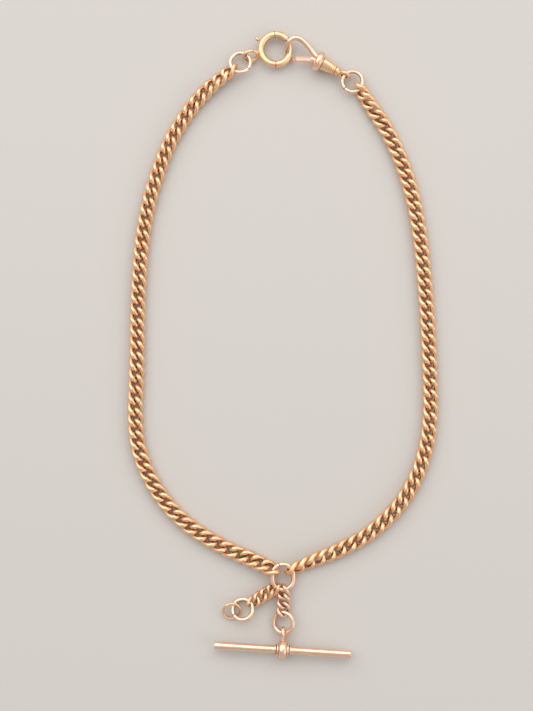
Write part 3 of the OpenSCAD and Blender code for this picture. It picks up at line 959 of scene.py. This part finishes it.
connector_axes = own_axes(solids_of("connector_loop")[0])
through = connector_axes.col[2].to_3d()
connector_place = facing(box_middle("connector_loop"), through, connector_axes.col[0].to_3d())
connector = soldered_ring(CONNECTOR_RADIUS, CONNECTOR_WIRE, CONNECTOR_SEAM, straight=CONNECTOR_STRAIGHT)
finish(connector, "connector_loop_wire", "connector_loop", place=connector_place)

block = bmesh.new()
add_block(block, BLOCK_SPOT, BLOCK_SIZE, BLOCK_EDGE, 3)
connector_turn = Matrix.Rotation(CONNECTOR_TURN, 4, "Z") @ Matrix.Rotation(CONNECTOR_LEAN, 4, "X")
block_place = Matrix.Translation(box_middle("connector_loop")) @ connector_turn
finish(block, "connector_block", "connector_collar", place=block_place)
print("the connector's wire is", CONNECTOR_WIRE, "mm")

# %% [markdown]
# ## The swivel clip
#
# The clip's barrel, collar and swivel are turned pieces on one axis, so one matrix places them all. Its X
# runs along the swivel's joint, from the hook's end to the chain's, and its origin is the middle of the
# collar.

# %% Clip axis
COLLAR_TO_SWIVEL = 4.0

swivel_axis = Vector(joints["swivel"]["axis"])
swivel_point = Vector(joints["swivel"]["pos_m"]) / MM
across = Vector((0, 0, 1)).cross(swivel_axis).normalized()
clip_place = Matrix((swivel_axis, across, swivel_axis.cross(across))).transposed().to_4x4()
clip_place.translation = swivel_point - swivel_axis * COLLAR_TO_SWIVEL
print("clip axis", [round(v, 3) for v in swivel_axis])

# %% [markdown]
# The collar is a thick half-round band. Two small cheeks on its front hold the tongue's pin. They are
# blocks with rounded edges, added to the same mesh because they are cast with it.

# %% Collar
COLLAR_RADIUS = 3.0
COLLAR_HALF = 1.2
CHEEK_SPOT = (-1.6, -0.35)
CHEEK_OFF = 0.62
CHEEK_SIZE = (1.6, 0.9, 0.34)
CHEEK_EDGE = 0.12

outline = [(-COLLAR_HALF, 0.0), (-COLLAR_HALF, COLLAR_RADIUS - COLLAR_HALF)]
outline += arc((0, COLLAR_RADIUS - COLLAR_HALF), COLLAR_HALF, 180, 0, 17)[1:-1]
outline += [(COLLAR_HALF, COLLAR_RADIUS - COLLAR_HALF), (COLLAR_HALF, 0.0)]
collar = turned(outline)
for side in (-1, 1):
    add_block(collar, (*CHEEK_SPOT, side * CHEEK_OFF), CHEEK_SIZE, CHEEK_EDGE, 3)
finish(collar, "hook_collar_body", "hook_collar", place=clip_place)
print("the collar is", 2 * COLLAR_RADIUS, "mm across")

# %% [markdown]
# The barrel tapers from the collar to two small beads. Its end is open, because the swivel's post goes into
# it, so its profile is a closed outline that leaves a bore.

# %% Barrel
BARREL_FROM = 1.22
BARREL_END = 5.4
BARREL_BORE = 0.65

outline = [(BARREL_FROM, BARREL_BORE), (BARREL_FROM, 2.0), (1.35, 2.0)]
outline += [(4.15, 1.6), (4.22, 1.44), (4.3, 1.44)]
outline += arc((4.55, 1.38), 0.24, 165, 15, 7)
outline += [(4.82, 1.34), (4.88, 1.34)]
outline += arc((5.14, 1.28), 0.24, 165, 0, 7)
outline += [(BARREL_END, 1.28), (BARREL_END, BARREL_BORE)]
barrel = turned(outline, closed=True, seams=(BARREL_FROM,))
finish(barrel, "swivel_barrel_body", "swivel_barrel", place=clip_place)
print("the barrel is", round(BARREL_END - BARREL_FROM, 2), "mm long")

# %% [markdown]
# The swivel is an eye on a flared flange, which turns against the barrel's end. The ring is leaned about
# the clip's axis before the flange joins it, so the chain's ring lies naturally in it.

# %% Swivel eye
SWIVEL_RADIUS = 1.3
SWIVEL_WIRE = 0.92
SWIVEL_EYE_AT = 8.6
SWIVEL_LEAN = math.radians(68)
FLANGE_FROM = 5.5
FLANGE_STEPS = 36

swivel_eye = spun_ring(SWIVEL_RADIUS, SWIVEL_WIRE, EYE_ROWS, EYE_SIDES)
# The swivel eye's inner side darkens, as tarnish and painted shade
film_and_shade_inside(swivel_eye, SWIVEL_RADIUS, SWIVEL_WIRE)
turn_eye = Matrix.Translation((SWIVEL_EYE_AT, 0, 0)) @ Matrix.Rotation(SWIVEL_LEAN, 4, "X")
bmesh.ops.transform(swivel_eye, matrix=turn_eye, verts=swivel_eye.verts)
outline = [(FLANGE_FROM, 0.0), (FLANGE_FROM, 1.1), (5.58, 1.26), (5.9, 1.3), (6.35, 1.3)]
outline += [(6.8, 0.95), (7.1, 0.72), (7.3, 0.0)]
join(swivel_eye, turned(outline, seams=(FLANGE_FROM,), steps=FLANGE_STEPS))
finish(swivel_eye, "swivel_eye_loop", "swivel_eye", place=clip_place)
print("the swivel's eye is", round(2 * SWIVEL_RADIUS + SWIVEL_WIRE, 2), "mm across")

# %% [markdown]
# The tongue is a flat bar that springs shut against the hook's tip. Its upper face is pressed in, which an
# inset with a little depth gives, and a round knuckle at its root takes the pin. The pin is a short turned
# rod with rounded ends.

# %% Tongue and pin
PIN_SPOT = (-1.95, -0.35, 0)
TONGUE_SPOT = (-2.4, -0.08, 0)
TONGUE_SIZE = (4.7, 1.28, 0.8)
TONGUE_EDGE = 0.1
TONGUE_TURN = math.radians(27.4)
KNUCKLE_RADIUS = 0.5
PANEL_EDGE = 0.26
PANEL_DEPTH = 0.16
PIN_STEPS = 24

tongue = bmesh.new()
add_block(tongue, TONGUE_SPOT, TONGUE_SIZE, TONGUE_EDGE, 2)
top = max(tongue.faces, key=lambda face: face.calc_center_median().z * 10 + face.calc_area())
bmesh.ops.inset_region(tongue, faces=[top], thickness=PANEL_EDGE, depth=-PANEL_DEPTH)
bmesh.ops.create_cone(
    tongue, cap_ends=True, segments=28, radius1=KNUCKLE_RADIUS, radius2=KNUCKLE_RADIUS, depth=TONGUE_SIZE[2],
)
tongue_turn = Matrix.Translation(PIN_SPOT) @ Matrix.Rotation(TONGUE_TURN, 4, "Z")
finish(tongue, "tongue_bar", "tongue", place=clip_place @ tongue_turn)

pin_profile = [(-0.79, 0.0), (-0.79, 0.16), (-0.72, 0.24), (0.72, 0.24), (0.79, 0.16), (0.79, 0.0)]
pin_turn = Matrix.Translation(PIN_SPOT) @ Matrix.Rotation(math.pi / 2, 4, "Y")
finish(turned(pin_profile, steps=PIN_STEPS), "tongue_pin_rod", "tongue_pin", place=clip_place @ pin_turn)
print("the tongue is", TONGUE_SIZE[0], "mm long")

# %% [markdown]
# The hook is forged and filed, so it has no plain profile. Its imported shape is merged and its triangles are
# paired into squares, and a subdivision surface rounds it. Subdividing draws a thin wire inwards a little,
# so its points move out first.

# %% Hook
ROUNDING_LOSS = 0.015
HOOK_MERGE = 1e-3
PAIR_LIMIT = math.radians(60)
ROUNDING_LEVELS = 2

hook = bmesh.new()
hook.from_mesh(nodes["hook"].data)
bmesh.ops.transform(hook, matrix=Matrix.Scale(1 / MM, 4), verts=hook.verts)
bmesh.ops.remove_doubles(hook, verts=hook.verts, dist=HOOK_MERGE)
bmesh.ops.join_triangles(
    hook, faces=hook.faces[:], angle_face_threshold=PAIR_LIMIT, angle_shape_threshold=PAIR_LIMIT,
)
hook.normal_update()
for point in hook.verts:
    point.co += point.normal * ROUNDING_LOSS
hook_piece = finish(hook, "hook_wire", "hook")
rounding = hook_piece.modifiers.new("rounding", "SUBSURF")
rounding.levels = ROUNDING_LEVELS
rounding.render_levels = ROUNDING_LEVELS
print("the hook has", len(hook_piece.data.polygons), "faces before rounding")

# %% [markdown]
# ## Pieces kept from the model
#
# The springs and the swivel post are plain wire and rod, and hardly seen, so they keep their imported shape
# and only get their metal.

# %% Kept nodes
KEPT = ("bolt_spring", "tongue_spring", "swivel_post")
for node in KEPT:
    nodes[node].data.materials.clear()
    nodes[node].data.materials.append(FINISHES[slot_of[node]])
print("kept:", ", ".join(KEPT))

# %% [markdown]
# ## Floor
#
# The chain lies on a plain pale floor, which isn't part of it. The floor sits a hair lower than the wires,
# so the two surfaces never share a plane, and it is rough so that it mirrors nothing.

# %% Floor
FLOOR_REACH = 1.5
FLOOR_GAP = 0.00005
FLOOR_COLOUR = (0.56, 0.555, 0.55, 1)
FLOOR_ROUGHNESS = 0.8

floor = bmesh.new()
bmesh.ops.create_grid(floor, x_segments=1, y_segments=1, size=FLOOR_REACH)
floor_mesh = bpy.data.meshes.new("floor")
floor.to_mesh(floor_mesh)
floor.free()
floor_piece = bpy.data.objects.new("floor", floor_mesh)
floor_piece.location.z = -FLOOR_GAP
bpy.context.scene.collection.objects.link(floor_piece)
pale = bpy.data.materials.new("pale_floor")
pale.use_nodes = True
pale.node_tree.nodes["Principled BSDF"].inputs["Base Color"].default_value = FLOOR_COLOUR
pale.node_tree.nodes["Principled BSDF"].inputs["Roughness"].default_value = FLOOR_ROUGHNESS
floor_mesh.materials.append(pale)
print("floor laid", 2 * FLOOR_REACH, "m wide")
